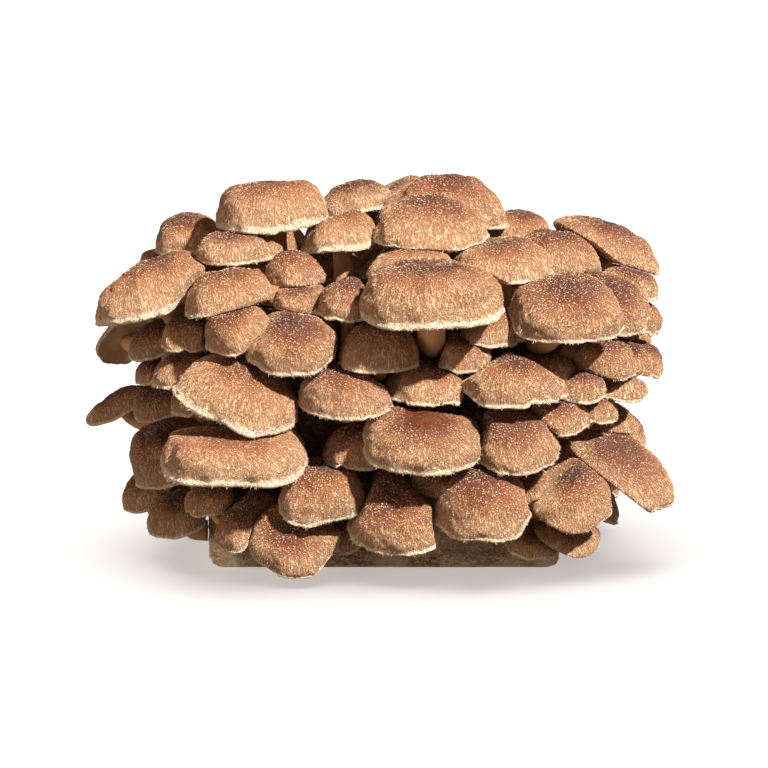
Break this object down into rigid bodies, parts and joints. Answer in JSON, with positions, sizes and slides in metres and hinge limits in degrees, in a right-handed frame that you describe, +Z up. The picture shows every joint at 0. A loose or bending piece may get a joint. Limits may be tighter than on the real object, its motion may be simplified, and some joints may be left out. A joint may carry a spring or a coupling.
{
  "type": "shiitake grow block",
  "caption": "Shiitake log: a sawdust grow block almost wholly covered by crowded, furry tan-brown mushroom caps, standing on its flat base.",
  "frame": {"origin": "middle of the block's flat base, on the surface that it stands on", "axes": "+X along the block's length, to the right in the picture; +Z up; the pictured side faces -Y"},
  "size_m": [0.3163, 0.2613, 0.2068],
  "materials": {
    "mushroom": "matt, furry, tan-brown with a darker centre, cream scales and a pale frayed rim",
    "block": "matt, mottled brown sawdust bound by white mycelium"
  },
  "bodies": {
    "root": {"sawdust_block": "block", "mushroom_top_1": "mushroom", "mushroom_top_2": "mushroom", "mushroom_top_3": "mushroom", "mushroom_top_4": "mushroom", "mushroom_top_5": "mushroom", "mushroom_top_6": "mushroom", "mushroom_top_7": "mushroom", "mushroom_right_1": "mushroom", "mushroom_right_2": "mushroom", "mushroom_right_3": "mushroom", "mushroom_right_4": "mushroom", "mushroom_right_5": "mushroom", "mushroom_right_6": "mushroom", "mushroom_centre_1": "mushroom", "mushroom_centre_2": "mushroom", "mushroom_centre_3": "mushroom", "mushroom_centre_4": "mushroom", "mushroom_centre_5": "mushroom", "mushroom_centre_6": "mushroom", "mushroom_centre_7": "mushroom", "mushroom_centre_8": "mushroom", "mushroom_centre_9": "mushroom", "mushroom_centre_10": "mushroom", "mushroom_centre_11": "mushroom", "mushroom_centre_12": "mushroom", "mushroom_left_1": "mushroom", "mushroom_left_2": "mushroom", "mushroom_left_3": "mushroom", "mushroom_left_4": "mushroom", "mushroom_front_1": "mushroom", "mushroom_front_2": "mushroom", "mushroom_front_3": "mushroom", "mushroom_front_4": "mushroom", "mushroom_front_5": "mushroom", "mushroom_front_6": "mushroom", "mushroom_front_7": "mushroom", "mushroom_front_8": "mushroom", "mushroom_low_1": "mushroom", "mushroom_low_2": "mushroom", "mushroom_low_3": "mushroom", "mushroom_back_1": "mushroom", "mushroom_back_2": "mushroom", "mushroom_back_3": "mushroom", "mushroom_back_4": "mushroom", "mushroom_back_5": "mushroom", "mushroom_back_6": "mushroom", "mushroom_back_7": "mushroom", "mushroom_back_8": "mushroom", "mushroom_back_9": "mushroom", "mushroom_back_10": "mushroom", "mushroom_back_11": "mushroom", "mushroom_back_12": "mushroom", "mushroom_back_13": "mushroom", "mushroom_back_14": "mushroom", "mushroom_back_15": "mushroom", "mushroom_side_1": "mushroom", "mushroom_side_2": "mushroom", "mushroom_side_3": "mushroom", "mushroom_side_4": "mushroom"}
  },
  "joints": []
}
